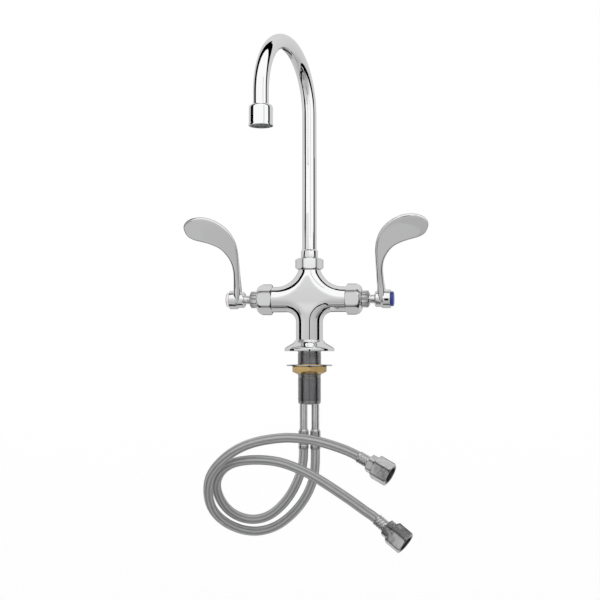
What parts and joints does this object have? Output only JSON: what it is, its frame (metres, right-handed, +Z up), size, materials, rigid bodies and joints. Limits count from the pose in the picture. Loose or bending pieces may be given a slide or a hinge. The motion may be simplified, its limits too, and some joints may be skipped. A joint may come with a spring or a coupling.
{
  "type": "pantry faucet",
  "caption": "Deck-mounted two-handle gooseneck faucet on a threaded shank, with wrist-blade handles and braided supply hoses.",
  "frame": {"origin": "centre of the deck flange's underside, on the axis of shank and spout riser", "axes": "+Z up, the user stands at -Y, the hot valve is on -X and the cold valve on +X"},
  "size_m": [0.294, 0.1866, 0.5925],
  "materials": {
    "body_chrome": "polished",
    "nut_chrome": "polished",
    "spout_chrome": "polished",
    "handle_chrome": "polished",
    "index_chrome": "polished with a thin colour ring",
    "brass": "machined",
    "stem_metal": "turned and plated",
    "shank_metal": "dull threaded",
    "washer_steel": "stamped",
    "tube_metal": "satin drawn",
    "sleeve_steel": "satin crimped",
    "braid": "braided wire",
    "fitting_chrome": "plated",
    "rubber": "matte",
    "white_plastic": "matte",
    "grey_plastic": "matte"
  },
  "bodies": {
    "root": {"body_casting": "body_chrome", "deck_flange": "body_chrome", "base_gasket": "rubber", "shank": "shank_metal", "glide_washer": "white_plastic", "swivel_nut": "nut_chrome", "hot_seat": "brass", "cold_seat": "brass", "hot_cartridge": "brass", "cold_cartridge": "brass", "hot_bonnet_gasket": "rubber", "cold_bonnet_gasket": "rubber", "hot_bonnet_nut": "nut_chrome", "cold_bonnet_nut": "nut_chrome", "hot_packing": "white_plastic", "cold_packing": "white_plastic", "hot_packing_nut": "nut_chrome", "cold_packing_nut": "nut_chrome", "hot_supply_tube": "tube_metal", "cold_supply_tube": "tube_metal", "hot_top_sleeve": "sleeve_steel", "cold_top_sleeve": "sleeve_steel", "hot_hose": "braid", "cold_hose": "braid", "hot_end_sleeve": "sleeve_steel", "cold_end_sleeve": "sleeve_steel", "hot_hose_tail": "fitting_chrome", "cold_hose_tail": "fitting_chrome"},
    "spout": {"spout_tube": "spout_chrome", "spout_foot": "spout_chrome", "spout_o_rings": "rubber", "split_ring": "white_plastic", "aerator_shell": "spout_chrome", "aerator_washer": "rubber", "flow_straightener": "grey_plastic", "aerator_screen": "washer_steel"},
    "clamp": {"clamp_washer": "washer_steel"},
    "nut": {"lock_nut": "brass"},
    "hot_valve": {"hot_washer_holder": "brass", "hot_seat_washer": "rubber", "hot_washer_screw": "brass"},
    "hot_lever": {"hot_stem": "stem_metal", "hot_handle": "handle_chrome", "hot_handle_screw": "stem_metal", "hot_index_button": "index_chrome"},
    "hot_coupling": {"hot_coupling_nut": "fitting_chrome", "hot_cone_washer": "rubber"},
    "cold_valve": {"cold_washer_holder": "brass", "cold_seat_washer": "rubber", "cold_washer_screw": "brass"},
    "cold_lever": {"cold_stem": "stem_metal", "cold_handle": "handle_chrome", "cold_handle_screw": "stem_metal", "cold_index_button": "index_chrome"},
    "cold_coupling": {"cold_coupling_nut": "fitting_chrome", "cold_cone_washer": "rubber"}
  },
  "joints": [
    {"name": "spout_swivel", "type": "hinge", "parent": "root", "child": "spout", "pos_m": [0, 0, 0.1], "axis": [0, 0, 1], "continuous": true},
    {"name": "hot_lift", "type": "slide", "parent": "root", "child": "hot_valve", "axis": [-1, 0, 0], "range_m": [0, 0.00202]},
    {"name": "hot_turn", "type": "hinge", "parent": "hot_valve", "child": "hot_lever", "pos_m": [-0.09, 0, 0.0628], "axis": [1, 0, 0], "range_deg": [0, 90]},
    {"name": "cold_lift", "type": "slide", "parent": "root", "child": "cold_valve", "axis": [1, 0, 0], "range_m": [0, 0.00202]},
    {"name": "cold_turn", "type": "hinge", "parent": "cold_valve", "child": "cold_lever", "pos_m": [0.09, 0, 0.0628], "axis": [1, 0, 0], "range_deg": [0, 90]},
    {"name": "clamp_slide", "type": "slide", "parent": "root", "child": "clamp", "axis": [0, 0, 1], "range_m": [-0.034, 0.015]},
    {"name": "nut_turn", "type": "hinge", "parent": "clamp", "child": "nut", "pos_m": [0, 0, -0.02], "axis": [0, 0, 1], "range_deg": [-8640, 3780]},
    {"name": "hot_coupling_turn", "type": "hinge", "parent": "root", "child": "hot_coupling", "pos_m": [0.11593, -0.09594, -0.20652], "axis": [0.7807, -0.2121, -0.5878], "continuous": true},
    {"name": "cold_coupling_turn", "type": "hinge", "parent": "root", "child": "cold_coupling", "pos_m": [0.09745, -0.08535, -0.13404], "axis": [0.8638, -0.2186, -0.454], "continuous": true}
  ],
  "couplings": [
    {"joint": "hot_lift", "follows": "hot_turn", "m_per_rad": 0.0012732},
    {"joint": "cold_lift", "follows": "cold_turn", "m_per_rad": 0.0012732},
    {"joint": "clamp_slide", "follows": "nut_turn", "m_per_rad": 0.00022458}
  ]
}
